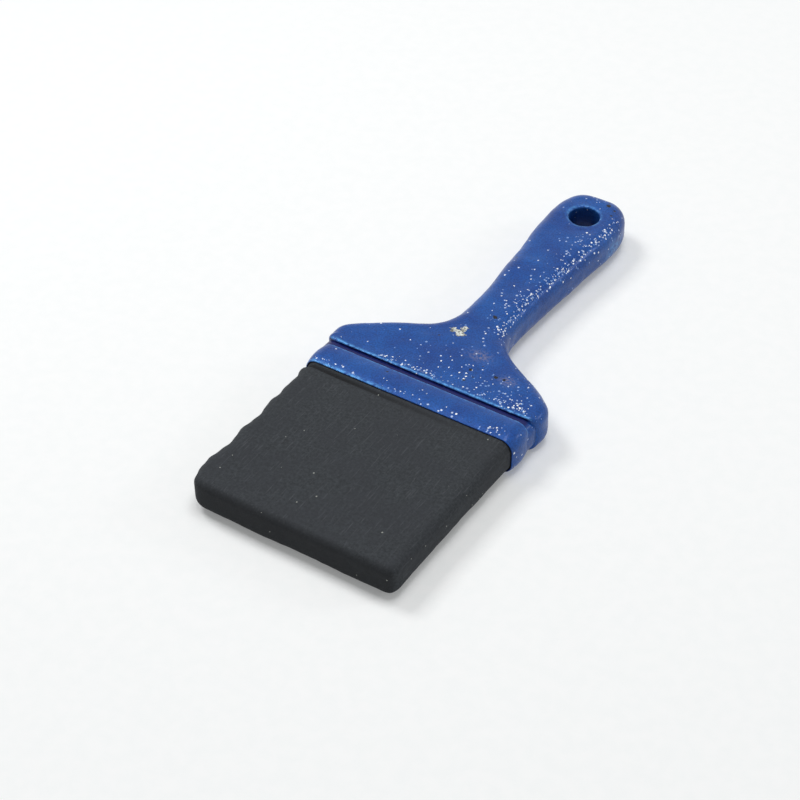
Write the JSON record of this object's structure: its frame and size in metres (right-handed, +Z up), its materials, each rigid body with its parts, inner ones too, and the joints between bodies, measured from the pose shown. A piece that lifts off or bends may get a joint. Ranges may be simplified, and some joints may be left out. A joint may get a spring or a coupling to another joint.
{
  "type": "paint brush",
  "caption": "Flat wall paint brush with a lacquered handle that has a hanging hole, a bowed ferrule band and a dense tapered bristle pack.",
  "frame": {"origin": "on the surface the brush lies on, under the middle of its length and width", "axes": "+Y from the bristle tips to the tail of the handle, +X across the brush, +Z up out of its upper face"},
  "size_m": [0.102, 0.251, 0.019],
  "materials": {
    "handle_lacquer": "blue metallic-flake lacquer over wood, semi-gloss, chipped and pitted",
    "ferrule_lacquer": "the same blue metallic-flake lacquer over sheet steel",
    "bristle": "matte charcoal-black, densely packed bristle",
    "resin": "cured amber resin",
    "plug_wood": "plain sawn wood strip",
    "nail_steel": "bright steel"
  },
  "bodies": {
    "root": {"handle": "handle_lacquer", "ferrule": "ferrule_lacquer", "ferrule_nails": "nail_steel", "setting": "resin", "spacer_plug_upper": "plug_wood", "spacer_plug_lower": "plug_wood", "bristle_bank_upper": "bristle", "bristle_bank_middle": "bristle", "bristle_bank_lower": "bristle"}
  },
  "joints": []
}
